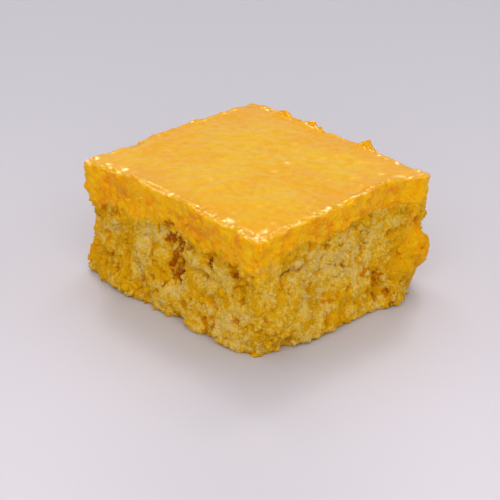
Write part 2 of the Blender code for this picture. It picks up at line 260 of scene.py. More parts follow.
def crumb_side(distance, share_down):
    """The torn side at a distance round it and a share of the way down from the honey."""
    plan, outward = outline_at(distance)
    top_of_side = HEIGHT - honey_run(distance) - BELOW_HONEY
    height = top_of_side * (1 - share_down)
    tucked = TUCKED_UNDER * np.clip(1 - (top_of_side - height) / TUCK_HEIGHT, 0, 1)
    return side_points(plan, outward, tucked, drawn_in(plan, distance, height), height)


def surface_normals(points):
    """Unit normals of a grid that is closed round its columns: the cross product of its two directions."""
    round_it = np.roll(points, -1, axis=1) - np.roll(points, 1, axis=1)
    down_it = np.gradient(points, axis=0)
    normals = np.cross(down_it, round_it)
    return normals / np.maximum(np.linalg.norm(normals, axis=-1, keepdims=True), 1e-12)


# The crumb's own fine relief, from pea-sized lumps to single grains, and the pores that the baking left.
LUMP_SIZE, LUMP_RELIEF = 3.6 * MM, 1.15 * MM
CRUMB_SIZE, CRUMB_RELIEF = 1.8 * MM, 0.75 * MM
FLECK_SIZE, FLECK_RELIEF = 1.05 * MM, 0.4 * MM
PORE_SIZE, PORE_DEPTH = 2.4 * MM, 1.3 * MM
BEND_SIZE, BEND = 1.9 * MM, 0.9 * MM
GRIT_SIZE, GRIT = 0.5 * MM, 0.14 * MM
TALLER = np.array([1, 1, 0.75])


def fine_relief(points):
    """How far the fine crumb stands out, and from 0 to 1 how deep it lies in the gaps or pores.

    Clumps of three sizes are added up on points that noise has bent, pores are cut where another noise
    is high, and grit comes on top. The gaps are where the clumps are low.
    """
    bend = np.stack([smooth_noise(points, BEND_SIZE, seed=60 + axis) for axis in range(3)], axis=-1)
    bent = (points + BEND * bend) * TALLER
    lump = clump_height(bent, LUMP_SIZE, seed=31) - MEAN_BUMP
    crumb = clump_height(bent, CRUMB_SIZE, seed=37) - MEAN_BUMP
    fleck = clump_height(bent, FLECK_SIZE, seed=43) - MEAN_BUMP
    pore = np.clip(3.0 * (smooth_noise(bent, PORE_SIZE, seed=51) - 0.42), 0, 1)
    stands_out = LUMP_RELIEF * lump + CRUMB_RELIEF * crumb + FLECK_RELIEF * fleck - PORE_DEPTH * pore
    stands_out = stands_out + GRIT * smooth_noise(points, GRIT_SIZE, seed=57)
    # The depth in the gaps, which the materials paint as orange shade.
    painted_gap_shade = np.clip(-2.2 * lump - 1.3 * crumb - 0.5 * fleck - 0.15, 0, 1)
    return stands_out, np.clip(painted_gap_shade + 0.5 * pore, 0, 1)


# Where honey fills the crumb its gaps close up and softer lumps are left: the size and height of each.
SOAKED_SWELLS = [(5.0 * MM, 0.4 * MM), (2.2 * MM, 0.2 * MM)]
SOAKED_LUMPS = [(3.4 * MM, 0.9 * MM), (1.8 * MM, 0.6 * MM), (1.1 * MM, 0.22 * MM)]


def soft_lump(points, size, seed):
    """Lumps without sharp valleys: the square of the clump height, about its mean."""
    return clump_height(points, size, seed) ** 2 - MEAN_BUMP**2


def soaked_relief(points):
    """How far the soaked crumb stands out: smooth noise of two sizes, and lumps of three sizes."""
    swells = [relief * smooth_noise(points, size, seed=65) for size, relief in SOAKED_SWELLS]
    lumps = [relief * soft_lump(points, size, seed=67) for size, relief in SOAKED_LUMPS]
    return np.sum(swells + lumps, axis=0)


# How far below the honey's rim the crumb is soaked, round the serving: deep in front, shallow on the right.
# The soaked band fades out over a height, and two sizes of noise make its lower edge ragged.
SOAKED_AT = np.array([0, 20, 60, 74, 80, 96, 130, 147, 180, 224, 260, 294]) * MM
SOAKED_DEPTH = np.array([6.5, 6.0, 6.0, 3.2, 2.6, 1.4, 1.8, 3.0, 5.0, 4.0, 6.0, 6.5]) * MM

SOAKED_FADE = 4.4 * MM
RAGGED_SIZES, RAGGED_DEPTHS = (5 * MM, 2 * MM), (2.4 * MM, 2.6 * MM)
RAGGED_PLACE_DEPTH = 4 * MM

# Crumb lower down that honey has reached too, in mm: face, distance along it, height, half width,
# half height, share.
SOAKED_PLACES = [
    ("right", 66.0, 15.5, 8.0, 8.5, 0.65),
    ("front", 1.0, 13.0, 5.5, 8.0, 0.45),
    ("back", 6.0, 12.0, 5.0, 8.0, 0.6),
    ("left", 66.0, 14.0, 5.0, 8.0, 0.6),
]

# The crumb's tone goes from 0, pale, to 1, golden. Noise of three sizes shifts it by these amounts.
# Raised crumb is painted paler, as if lit, and sunken crumb more golden, as if shaded.
MEAN_TONE, PAINTED_LIGHT_OF_RELIEF, RELIEF_REACH = 0.40, 0.30, 0.6 * MM
TONE_NOISES = [(6.5 * MM, 0.20), (3.1 * MM, 0.34), (1.2 * MM, 0.26)]
TONE_OF_PLACES = 0.42

# Patches of crumb that are paler or more golden than the rest, in mm: face, distance along it, height,
# half width, half height, shift of tone (more than 0 is golden).
TONE_PLACES = [
    ("front", 16.0, 13.5, 2.2, 5.5, 0.6),
    ("front", 37.5, 13.7, 4.5, 3.5, 0.7),
    ("front", 16.2, 5.8, 3.0, 2.0, 0.6),
    ("front", 26.1, 4.8, 2.6, 2.0, 0.5),
    ("front", 6.0, 8.0, 4.5, 6.0, 0.6),
    ("front", 27.5, 16.0, 3.4, 8.0, -0.7),
    ("front", 58.7, 20.5, 5.0, 3.5, -0.5),
    ("front", 47.0, 8.0, 5.0, 4.0, -0.4),
    ("right", 20.0, 20.6, 2.5, 1.5, 0.9),
    ("right", 13.4, 15.9, 1.7, 2.2, 0.9),
    ("right", 18.4, 14.8, 1.2, 1.2, 0.6),
    ("right", 33.5, 9.0, 4.0, 3.0, 0.6),
    ("right", 43.4, 7.1, 2.0, 4.5, 0.6),
    ("right", 46.2, 11.8, 2.5, 4.0, 0.9),
    ("right", 61.0, 14.0, 9.0, 9.0, 0.75),
    ("front", 64.0, 8.0, 12.0, 8.0, -0.9),
    ("right", 18.9, 16.0, 2.2, 4.0, -0.8),
    ("right", 33.0, 19.0, 22.0, 10.0, -0.5),
    ("right", 29.5, 22.4, 9.0, 6.0, -0.6),
    ("right", 37.1, 12.6, 3.0, 6.0, -0.6),
    ("back", 20.0, 14.0, 8.0, 6.0, 0.5),
    ("back", 46.0, 18.0, 7.0, 6.0, -0.5),
    ("left", 16.0, 12.0, 7.0, 6.0, -0.5),
    ("left", 42.0, 10.0, 8.0, 6.0, 0.6),
]

# Painted shade in the hollows, in mm: face, distance along it, height, half width, half height, strength.
# Its brown is darkest where the crumb lies deep, and noise breaks it up into flecks.
HOLLOW_FLECK_SIZE, HOLLOW_RELIEF_REACH = 1.7 * MM, 0.5 * MM
SHADED_HOLLOW_PLACES = [
    ("front", 39.0, 24.2, 4.4, 3.3, 1.4),
    ("front", 41.8, 16.3, 2.9, 5.2, 1.4),
    ("front", 38.5, 29.3, 2.6, 1.1, 0.7),
    ("front", 46.8, 23.6, 1.4, 1.6, 0.6),
    ("front", 55.4, 22.0, 2.1, 1.8, 0.8),
    ("front", 53.5, 17.6, 4.0, 0.9, 0.6),
    ("front", 66.0, 22.4, 2.6, 1.3, 0.9),
    ("front", 70.4, 19.7, 1.6, 0.8, 0.5),
    ("front", 10.5, 0.6, 2.4, 1.0, 0.8),
    ("right", 11.5, 23.6, 4.6, 0.9, 0.8),
    ("right", 48.6, 9.5, 1.8, 4.0, 0.8),
    ("right", 51.5, 4.0, 2.0, 3.0, 0.7),
    ("back", 26.0, 20.0, 3.0, 4.6, 0.9),
    ("back", 64.0, 12.0, 2.2, 4.6, 0.8),
    ("left", 22.0, 20.0, 3.8, 2.6, 0.9),
    ("left", 36.0, 12.0, 2.2, 4.6, 0.9),
]


def soak(points, distance):
    """From 0, dry, to 1, full of honey: a ragged band below the rim, and the places further down."""
    below_rim = HEIGHT - honey_run(distance) - points[..., 2]
    ragged = RAGGED_DEPTHS[0] * smooth_noise(points, RAGGED_SIZES[0], seed=71)
    ragged = ragged + RAGGED_DEPTHS[1] * smooth_noise(points, RAGGED_SIZES[1], seed=72)
    depth = np.interp(distance % PERIMETER, SOAKED_AT, SOAKED_DEPTH)
    band = np.clip(0.5 + (depth + ragged - below_rim) / SOAKED_FADE, 0, 1)
    further_down = sum_of_places(distance, points[..., 2], SOAKED_PLACES)
    return np.clip(band + further_down * (1 + ragged / RAGGED_PLACE_DEPTH), 0, 1)


def crumb_tone_and_light(points, distance, stands_out):
    """Tone: raised crumb painted pale as lit, sunken golden as shaded, then noise and patches shift it."""
    tone = MEAN_TONE - PAINTED_LIGHT_OF_RELIEF * np.clip(stands_out / RELIEF_REACH, -1.6, 1)
    for number, (size, shift) in enumerate(TONE_NOISES):
        tone = tone + shift * smooth_noise(points, size, seed=91 + number)
    return np.clip(tone + TONE_OF_PLACES * sum_of_places(distance, points[..., 2], TONE_PLACES), 0, 1)


def closed_grid(rows):
    """Closes a stack of rings with a point amid its first and amid its last ring, and lists its faces."""
    rings, columns = rows.shape[:2]
    middles = np.stack([rows[0].mean(axis=0), rows[-1].mean(axis=0)])
    ring = np.arange(rings - 1)[:, None] * columns
    here, there = np.arange(columns), (np.arange(columns) + 1) % columns
    next_ring = ring + columns
    quads = np.stack([ring + here, next_ring + here, next_ring + there, ring + there], axis=-1)
    first, last = rings * columns, (rings - 1) * columns
    upper = np.stack([np.full(columns, first), here, there], axis=-1)
    lower = np.stack([last + here, np.full(columns, first + 1), last + there], axis=-1)
    faces = quads.reshape(-1, 4).tolist() + upper.tolist() + lower.tolist()
    return np.concatenate([rows.reshape(-1, 3), middles]), faces


def add_surface(name, points, faces, attributes):
    """A smooth-shaded mesh object at the origin, with one number for each point and attribute."""
    mesh = bpy.data.meshes.new(name)
    mesh.from_pydata(points.tolist(), [], faces)
    for attribute, values in attributes.items():
        layer = mesh.attributes.new(attribute, "FLOAT", "POINT")
        layer.data.foreach_set("value", values.astype(np.float32))
    mesh.shade_smooth()
    surface = bpy.data.objects.new(name, mesh)
    bpy.context.scene.collection.objects.link(surface)
    return surface


walk_round = np.arange(SLAB_COLUMNS) / SLAB_COLUMNS * PERIMETER
down_side = np.linspace(0, 1, SLAB_SIDE_ROWS + 1)
distances, shares = np.meshgrid(walk_round, down_side)
torn_side = crumb_side(distances, shares)

# The crags aren't even, so the outline's middle is found by laying this side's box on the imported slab's.
cad_low, cad_high = (np.array(corner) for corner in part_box("cornbread"))
side_low, side_high = torn_side.min(axis=(0, 1)), torn_side.max(axis=(0, 1))
OUTLINE_MIDDLE = (cad_low + cad_high - side_low - side_high) / 2 * (1, 1, 0)

side_soak = soak(torn_side, distances)
relief, side_gap_shade = fine_relief(torn_side)
side_tone_and_light = crumb_tone_and_light(torn_side, distances, relief)
dryness = (1 - side_soak) ** 0.5
side_relief = relief * dryness + soaked_relief(torn_side) * (1 - dryness)
# The gaps' share, painted later as orange shade, is less where honey fills them.
side_gap_shade = side_gap_shade * (0.45 + 0.55 * dryness)
side_surface = torn_side + surface_normals(torn_side) * side_relief[..., None]
side_surface[..., 2] = np.clip(side_surface[..., 2], 0, None)
# Painted brown shade in the hollows: strongest where the crumb lies deep, broken up by flecks.
side_hollow_shade = sum_of_places(distances, torn_side[..., 2], SHADED_HOLLOW_PLACES)
flecks = smooth_noise(torn_side, HOLLOW_FLECK_SIZE, seed=95)
lies_deep = -np.clip(relief / HOLLOW_RELIEF_REACH, -1, 1)
side_hollow_shade = np.clip(side_hollow_shade * (0.85 + 0.5 * lies_deep + 0.6 * flecks), 0, 1)

# The shoulder under the honey, from the flat top out to the skirt's inner side: inset and height.
rim_plan, rim_outward = outline_at(walk_round)
ledge = HEIGHT - honey_run(walk_round)
shoulder_profile = [
    (12.0 * MM, CRUMB_TOP),
    (3.6 * MM, CRUMB_TOP),
    (2.2 * MM, CRUMB_TOP - 0.35 * MM),
    (1.7 * MM, 0.55 * CRUMB_TOP + 0.45 * ledge),
    (SKIRT_THICKNESS + CRUMB_TO_SKIRT, ledge),
]
shoulder = profile_rings(rim_plan, rim_outward, drawn_in(rim_plan, walk_round, ledge), shoulder_profile)

# The underside: flat rings that shrink from the torn base to its middle. Its brown reaches up the foot.
CRUST_REACH = 0.9 * MM
UNDERSIDE_SHARES = [0.985, 0.96, 0.93, 0.88, 0.8, 0.7, 0.58, 0.44, 0.3, 0.15, 0.05]
base_ring = side_surface[-1]
underside = np.stack([base_ring * (share, share, 0) for share in UNDERSIDE_SHARES])

slab_rows = np.concatenate([shoulder, side_surface, underside]) + OUTLINE_MIDDLE
slab_points, slab_faces = closed_grid(slab_rows)


def on_every_row(side_values, over_top, over_base):
    """Side values with a plain value for the rows above and below them, and for the two middle points."""
    above = np.full((len(shoulder), SLAB_COLUMNS), over_top)
    below = np.full((len(underside), SLAB_COLUMNS), over_base)
    return np.concatenate([above.ravel(), side_values.ravel(), below.ravel(), [over_top, over_base]])


slab = add_surface(
    "cornbread_slab",
    slab_points,
    slab_faces,
    {
        "soak": on_every_row(side_soak, 1.0, 0.0),
        "painted_gap_shade": on_every_row(side_gap_shade, 0.0, 0.0),
        "hollow_shade": on_every_row(side_hollow_shade, 0.0, 0.0),
        "tone": on_every_row(side_tone_and_light, 0.5, 0.5),
        "crust": on_every_row(np.clip(0.7 - side_surface[..., 2] / CRUST_REACH, 0, 1), 0.0, 1.0),
    },
)

PALE_CRUMB = (0.73, 0.51, 0.20, 1)
CREAMY_CRUMB = (0.75, 0.51, 0.075, 1)
YELLOW_CRUMB = (0.71, 0.385, 0.006, 1)
GOLDEN_CRUMB = (0.69, 0.345, 0.002, 1)
# Orange painted into gaps and creases as their shade.
ORANGE_GAP_SHADE = (0.60, 0.205, 0.001, 1)
SOAKED_PALE = (0.95, 0.54, 0.010, 1)
SOAKED_YELLOW = (0.94, 0.48, 0.001, 1)
SOAKED_ORANGE = (0.88, 0.31, 0.001, 1)
# Brown painted into the hollows as their shade.
HOLLOW_SHADE_BROWN = (0.37, 0.088, 0.001, 1)
CRUST_BROWN = (0.50, 0.22, 0.03, 1)
SUBSURFACE_RADIUS = (0.7, 0.7, 0.35)
SUBSURFACE_SCALE = 0.25 * MM
SUBSURFACE_WEIGHT = 0.12
WARM_GLOSS = (1.0, 0.66, 0.12, 1)
BUMP_DEPTH, BUMP_STRENGTH = 0.35 * MM, 0.8

# How many swells a metre each noise in the materials has.
TONE_MOTTLE, BROWN_FLECKS, CRUMB_GRAIN = 1200, 900, 1200
AMBER_BLOTCHES, PALER_SPOTS = 220, 500
HONEY_MOTTLE_AND_SHEEN, HONEY_PATCHES, HONEY_GRAIN = 480, 70, 1100


def new_material(name):
    """An empty node material, with its tree, Principled shader and object coordinates."""
    material = bpy.data.materials.new(name)
    material.use_nodes = True
    tree = material.node_tree
    shader = tree.nodes["Principled BSDF"]
    coordinates = tree.nodes.new("ShaderNodeTexCoord").outputs["Object"]
    return material, tree, shader, coordinates


def read_attribute(tree, name):
    """The socket of one of the mesh's own numbers."""
    node = tree.nodes.new("ShaderNodeAttribute")
    node.attribute_name = name
    return node.outputs["Fac"]


def noise_texture(tree, coordinates, scale, detail):
    """The socket of a noise texture, from 0 to 1."""
    node = tree.nodes.new("ShaderNodeTexNoise")
    node.inputs["Scale"].default_value = scale
    node.inputs["Detail"].default_value = detail
    tree.links.new(coordinates, node.inputs["Vector"])
    return node.outputs["Fac"]


def stretch(tree, value, low, high, to_low=0.0, to_high=1.0):
    """Maps a value from one range to another, and holds it there."""
    node = tree.nodes.new("ShaderNodeMapRange")
    tree.links.new(value, node.inputs["Value"])
    node.inputs["From Min"].default_value = low
    node.inputs["From Max"].default_value = high
    node.inputs["To Min"].default_value = to_low
    node.inputs["To Max"].default_value = to_high
    return node.outputs["Result"]


def blend_colours(tree, share, first, second):
    """Mixes two colours, or sockets of colours, by a share."""
    node = tree.nodes.new("ShaderNodeMix")
    node.data_type = "RGBA"
    share_socket, first_socket, second_socket = node.inputs[0], node.inputs[6], node.inputs[7]
    tree.links.new(share, share_socket)
    for value, socket in ((first, first_socket), (second, second_socket)):
        if isinstance(value, tuple):
            socket.default_value = value
        else:
            tree.links.new(value, socket)
    return node.outputs[2]


def bump(tree, height, distance, strength):
    """A bump whose height of 1 stands out by the distance."""
    node = tree.nodes.new("ShaderNodeBump")
    node.inputs["Distance"].default_value = distance
    node.inputs["Strength"].default_value = strength
    tree.links.new(height, node.inputs["Height"])
    return node.outputs["Normal"]


def add_sockets(tree, *sockets):
    """The sum of some sockets, held between 0 and 1."""
    total = sockets[0]
    for socket in sockets[1:]:
        node = tree.nodes.new("ShaderNodeMath")
        node.operation = "ADD"
        node.use_clamp = True
        tree.links.new(total, node.inputs[0])
        tree.links.new(socket, node.inputs[1])
        total = node.outputs["Value"]
    return total


def product(tree, first, second):
    """The product of two sockets."""
    node = tree.nodes.new("ShaderNodeMath")
    node.operation = "MULTIPLY"
    tree.links.new(first, node.inputs[0])
    tree.links.new(second, node.inputs[1])
    return node.outputs["Value"]


def soaked_colour(tree, coordinates):
    """Amber of crumb full of honey, with blotches of orange and a few of paler crumb."""
    orange = stretch(tree, noise_texture(tree, coordinates, AMBER_BLOTCHES, 5.0), 0.42, 0.62)
    pale = stretch(tree, noise_texture(tree, coordinates, PALER_SPOTS, 3.0), 0.50, 0.70)
    colour = blend_colours(tree, orange, SOAKED_YELLOW, SOAKED_ORANGE)
    return blend_colours(tree, pale, colour, SOAKED_PALE)


def gap_shade_share(tree):
    """How much of the orange painted shade in the gaps shows."""
    return stretch(tree, read_attribute(tree, "painted_gap_shade"), 0.1, 0.9, 0.0, 0.85)


def crumb_material(name, light_inside):
    """Pale to golden by tone, amber where soaked, brown crust; painted shade orange in gaps, brown in
    hollows.
    """
    material, tree, shader, coordinates = new_material(name)
    soaked = read_attribute(tree, "soak")
    tone = read_attribute(tree, "tone")
    mottle = noise_texture(tree, coordinates, TONE_MOTTLE, 1.0)
    tone = add_sockets(tree, tone, stretch(tree, mottle, 0.36, 0.64, 0.0, 0.5))
    colour = blend_colours(tree, stretch(tree, tone, 0.02, 0.34), PALE_CRUMB, CREAMY_CRUMB)
    colour = blend_colours(tree, stretch(tree, tone, 0.34, 0.64), colour, YELLOW_CRUMB)
    colour = blend_colours(tree, stretch(tree, tone, 0.64, 1.0), colour, GOLDEN_CRUMB)
    colour = blend_colours(tree, soaked, colour, soaked_colour(tree, coordinates))
    # Orange painted shade in the gaps.
    colour = blend_colours(tree, gap_shade_share(tree), colour, ORANGE_GAP_SHADE)
    flecks = stretch(tree, noise_texture(tree, coordinates, BROWN_FLECKS, 2.0), 0.38, 0.62, 0.55, 1.25)
    # Painted brown shade in the hollows, broken up by flecks of noise.
    hollow_shade_share = product(tree, read_attribute(tree, "hollow_shade"), flecks)
    colour = blend_colours(tree, stretch(tree, hollow_shade_share, 0.2, 0.8), colour, HOLLOW_SHADE_BROWN)
    colour = blend_colours(tree, read_attribute(tree, "crust"), colour, CRUST_BROWN)
    tree.links.new(colour, shader.inputs["Base Color"])
    shader.inputs["Subsurface Weight"].default_value = light_inside
    shader.inputs["Subsurface Radius"].default_value = SUBSURFACE_RADIUS
    shader.inputs["Subsurface Scale"].default_value = SUBSURFACE_SCALE
    tree.links.new(stretch(tree, soaked, 0.3, 1.0, 0.7, 0.5), shader.inputs["Roughness"])
    shader.inputs["Specular IOR Level"].default_value = 0.15
    shader.inputs["Specular Tint"].default_value = WARM_GLOSS
    fine = noise_texture(tree, coordinates, CRUMB_GRAIN, 3.0)
    tree.links.new(bump(tree, fine, BUMP_DEPTH, BUMP_STRENGTH), shader.inputs["Normal"])
    return material


slab.data.materials.append(crumb_material("crumb", SUBSURFACE_WEIGHT))
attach(slab, "root")
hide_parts("cornbread")

# The clinging crumbs
# Grains and clots of crumb that the tearing left on the sides, each a rounded, uneven bit of baked batter.
# Every one is a small ball, squeezed and dented in its own way and partly sunk into the torn side.
CLOT_COUNT, CLOT_RADII, CLOT_SUNK = 2400, (0.4 * MM, 1.6 * MM), 0.62
GRAIN_COUNT, GRAIN_RADII, GRAIN_SUNK = 8000, (0.16 * MM, 0.42 * MM), 0.3
MOST_STRETCH, DENTS_A_RADIUS, NOISE_SPREAD = 0.45, 1.5, 40
CRUMB_DENT = 0.8
ROWS_UNDER_HONEY = 4
BARE_WHERE_SOAKED = 0.75
loose_crumb = crumb_material("loose_crumb", 0.0)


def unit_ball(subdivisions):
    """A ball of radius 1 made of near-equal triangles, as arrays of points and faces."""
    mesh = bmesh.new()
    bmesh.ops.create_icosphere(mesh, subdivisions=subdivisions, radius=1.0)
    points = np.array([tuple(v.co) for v in mesh.verts])
    faces = np.array([[v.index for v in f.verts] for f in mesh.faces])
    mesh.free()
    return points, faces


def turns(random, count):
    """Random rotation matrices, each from a unit quaternion."""
    w, x, y, z = random.normal(size=(4, count))
    length = np.sqrt(w * w + x * x + y * y + z * z)
    w, x, y, z = w / length, x / length, y / length, z / length
    rows = [
        [1 - 2 * (y * y + z * z), 2 * (x * y - z * w), 2 * (x * z + y * w)],
        [2 * (x * y + z * w), 1 - 2 * (x * x + z * z), 2 * (y * z - x * w)],
        [2 * (x * z - y * w), 2 * (y * z + x * w), 1 - 2 * (x * x + y * y)],
    ]
    return np.moveaxis(np.array(rows), -1, 0)


def dented_balls(random, middles, radius, subdivisions, dent, seed):
    """Balls stretched, dented by noise and turned at random: their points, faces and points a ball."""
    ball, faces = unit_ball(subdivisions)
    count, points_a_ball = len(middles), len(ball)
    stretched = ball[None] * (1 + MOST_STRETCH * random.uniform(-1, 1, (count, 1, 3)))
    noise_places = stretched * DENTS_A_RADIUS + NOISE_SPREAD * random.random((count, 1, 3))
    dents = 1 + dent * smooth_noise(noise_places, 1.0, seed=seed)
    turned = np.einsum("nij,nkj->nki", turns(random, count), stretched * dents[..., None])
    points = middles[:, None] + turned * radius[:, None, None]
    all_faces = (faces[None] + points_a_ball * np.arange(count)[:, None, None]).reshape(-1, 3)
    return points.reshape(-1, 3), all_faces.tolist(), points_a_ball


down_step = np.gradient(side_surface, axis=0)
round_step = np.roll(side_surface, -1, axis=1) - side_surface
cell_areas = np.linalg.norm(np.cross(down_step, round_step), axis=-1)
area_so_far = np.cumsum(cell_areas[ROWS_UNDER_HONEY:])


def crumbs_on_side(name, count, radii, subdivisions, sunk, seed):
    """Scatters dented balls evenly over the side's area, fewer where it is soaked, each partly sunk in."""
    random = np.random.default_rng(seed)
    reached = np.searchsorted(area_so_far, random.random(count) * area_so_far[-1])
    row, column = np.divmod(reached, SLAB_COLUMNS)
    row = row + ROWS_UNDER_HONEY
    keep = random.random(count) > BARE_WHERE_SOAKED * side_soak[row, column]
    row, column = row[keep], column[keep]
    radius = radii[0] + (radii[1] - radii[0]) * random.random(len(row)) ** 3
    outward = surface_normals(side_surface)[row, column]
    middles = side_surface[row, column] - outward * (radius * sunk)[:, None]
    points, faces, points_a_ball = dented_balls(random, middles, radius, subdivisions, CRUMB_DENT, seed)
    points[:, 2] = np.clip(points[:, 2], 0.02 * MM, None)
    # Each crumb takes the side's tone there, its painted light and shade included, shifted at random.
    tone = np.clip(side_tone_and_light[row, column] + random.uniform(-0.3, 0.25, len(row)), 0, 1)
    # A crumb in a hollow carries its painted shade, at a random strength.
    hollow_shade = side_hollow_shade[row, column] * random.uniform(0.5, 1.0, len(row))
    attributes = {
        "soak": np.repeat(0.9 * side_soak[row, column], points_a_ball),
        "painted_gap_shade": np.repeat(0.25 * side_gap_shade[row, column], points_a_ball),
        "hollow_shade": np.repeat(hollow_shade, points_a_ball),
        "tone": np.repeat(tone, points_a_ball),
        "crust": np.zeros(len(points)),
    }
    piece = add_surface(name, points + OUTLINE_MIDDLE, faces, attributes)
    piece.data.materials.append(loose_crumb)
    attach(piece, "root")


crumbs_on_side("crumb_clots", CLOT_COUNT, CLOT_RADII, 2, CLOT_SUNK, seed=107)
crumbs_on_side("crumb_grains", GRAIN_COUNT, GRAIN_RADII, 1, GRAIN_SUNK, seed=202)

# The honey
# Honey and butter poured on hot, set to a smooth amber skin that has soaked in and run over the edges.
# One closed surface round the outline: dimpled top, beaded rim, a skirt down the sides and in beneath.
HONEY_COLUMNS = 760
TOP_ROWS = 60
RIM_ROWS = 44
DOME_RISE = 1.1 * MM
BACK_LEFT_RISE = 0.8 * MM
TOP_SWELL_SIZE, TOP_SWELL = 16 * MM, 0.3 * MM
DIMPLE_SIZE, DIMPLE = 5 * MM, 0.14 * MM

# Glazed lumps that raise the rim, and one dip, in mm: face, distance along it, half width, rise.
RIM_LUMPS = [
    ("back", 24.2, 2.2, 2.5),
    ("back", 48.4, 2.3, 1.4),
    ("back", 61.0, 2.6, 1.2),
    ("back", 66.0, 9.0, 0.5),
    ("left", 12.0, 9.0, 0.5),
    ("left", 51.4, 3.6, -1.1),
    ("right", 50.0, 9.0, 1.2),
    ("front", 21.0, 4.0, 0.6),
    ("front", 46.0, 4.0, 0.7),
    ("front", 67.0, 3.0, 0.4),
]

# The honey over the crumb's own unevenness: ripples on the top, and beads along the rim. Its skirt ends in
# short and long tails.
RIPPLE_SIZE, RIPPLE = 2.4 * MM, 0.125 * MM
SHIVER_SIZE, SHIVER = 1.2 * MM, 0.05 * MM
BEAD_SIZE, BEAD = 2.1 * MM, 0.65 * MM
WANDER_SIZE, WANDER = 4.5 * MM, 0.5 * MM
SHORT_TAIL, LONG_TAIL, TAIL_SIZE = 1.4 * MM, 4.2 * MM, 3.5 * MM

# From the rim to the middle the rings lie further apart. A lump keeps a small share of its rise inside the
# rim and fades out inward, and the rim's own height is held only close to it.
RING_CROWDING = 0.85
LUMP_INSIDE, LUMP_FADE = 0.12, 11
RIM_HOLD = 30

# Deeper amber in the skirt, in mm: face, distance along it, height, half width, half height, strength.
AMBER_PLACES = [
    ("front", 17.5, 32.5, 3.4, 2.2, 0.55),
    ("front", 54.0, 32.0, 4.0, 1.4, 0.5),
    ("right", 41.0, 31.5, 3.0, 1.8, 0.45),
    ("right", 54.0, 31.0, 3.4, 1.6, 0.4),
    ("back", 30.0, 31.0, 4.0, 2.0, 0.4),
    ("left", 26.0, 31.0, 4.0, 2.0, 0.4),
]


def rim_lump(distance):
    """How far a glazed lump stands out of the honey's rim at this place."""
    rise = np.zeros(distance.shape)
    for face, along, half_width, height in RIM_LUMPS:
        rise = rise + height * MM * hump(distance, around(face, along), half_width * MM)
    return rise


def honey_top(plan):
    """The height of the honey's upper face: least at the corners, with slow swells and shallow dimples."""
    to_right, to_back = 2 * plan[..., 0] / WIDTH, 2 * plan[..., 1] / DEPTH
    dome = DOME_RISE * (1 - (to_right * to_back) ** 2)
    back_left = BACK_LEFT_RISE * (1 - to_right) * (1 + to_back) / 4
    points = np.concatenate([plan, 0 * plan[..., :1]], axis=-1)
    swells = TOP_SWELL * smooth_noise(points, TOP_SWELL_SIZE, seed=7)
    dimples = DIMPLE * smooth_noise(points, DIMPLE_SIZE, seed=8)
    return HEIGHT + dome + back_left + swells + dimples


def smooth_through(stops, samples):
    """Catmull-Rom curves through stacked stops, read at fractional stop numbers."""
    last = len(stops) - 1
    start = np.clip(np.floor(samples).astype(int), 0, last - 1)
    t = (samples - start).reshape((-1,) + (1,) * (stops.ndim - 1))
    before, here = stops[np.maximum(start - 1, 0)], stops[start]
    there, after = stops[start + 1], stops[np.minimum(start + 2, last)]
    square = 2 * before - 5 * here + 4 * there - after
    cubic = 3 * (here - there) + after - before
    return here + 0.5 * t * (there - before + t * (square + t * cubic))


honey_walk = np.arange(HONEY_COLUMNS) / HONEY_COLUMNS * PERIMETER
honey_plan, honey_outward = outline_at(honey_walk)
honey_ledge = HEIGHT - honey_run(honey_walk)
honey_lump = rim_lump(honey_walk)
honey_amount = drawn_in(honey_plan, honey_walk, honey_ledge)
flat_height = honey_top(honey_plan)
rim_height = flat_height + honey_lump
ledge_points = np.concatenate([honey_plan, honey_ledge[:, None]], axis=-1)
tail_share = 0.5 + 0.5 * smooth_noise(ledge_points, TAIL_SIZE, seed=87)
tail = SHORT_TAIL + (LONG_TAIL - SHORT_TAIL) * tail_share

# The rim's section, from the top's edge down the skirt: the inset and height of each stop.
rim_section = [
    (2.6 * MM, flat_height + LUMP_INSIDE * honey_lump),
    (1.6 * MM, flat_height + 0.6 * honey_lump - 0.04 * MM),
    (0.75 * MM, rim_height - 0.28 * MM),
    (0.28 * MM, rim_height - 0.56 * MM),
    (0.05 * MM, rim_height - 1.0 * MM),
    (-0.05 * MM, 0.55 * (rim_height - MM) + 0.45 * honey_ledge),
    (0.0, honey_ledge + 0.2 * MM),
    (0.0, honey_ledge - 0.6 * tail),
    (1.0 * MM, honey_ledge - tail),
]
section_insets = np.stack([inset + 0 * honey_ledge for inset, _ in rim_section])
section_heights = np.stack([height for _, height in rim_section])
down_rim = np.linspace(0, len(rim_section) - 1, RIM_ROWS + 1)
rim_insets = smooth_through(section_insets, down_rim)
rim_heights = smooth_through(section_heights, down_rim)

# A lump leans out over the first four stops, and below the third the skirt follows the crags.
stand_out = 0.4 * honey_lump * np.clip(1 - down_rim / 4, 0, 1)[:, None]
crags = drawn_in(honey_plan + 0 * rim_heights[..., None], honey_walk + 0 * rim_heights, rim_heights)
to_crags = np.clip((down_rim - 3) / 2, 0, 1)[:, None]
drawn = honey_amount + (crags - honey_amount) * to_crags
honey_rim = side_points(honey_plan, honey_outward, rim_insets, drawn - stand_out, rim_heights)

# Towards the middle the rings shrink and take the top's own height.
shrink = np.linspace(0, 1, TOP_ROWS + 1)[1:, None, None] ** RING_CROWDING
ring_plan = honey_rim[0, :, :2] * shrink
lump_share = np.clip(1 - (1 - shrink[..., 0]) * LUMP_FADE, 0, 1) ** 2
ring_height = honey_top(ring_plan) + LUMP_INSIDE * lump_share * honey_lump
blend_to_rim = shrink[..., 0] ** RIM_HOLD
ring_height = ring_height * (1 - blend_to_rim) + honey_rim[0, :, 2] * blend_to_rim
honey_upper = np.concatenate([ring_plan, ring_height[..., None]], axis=-1)[:-1]

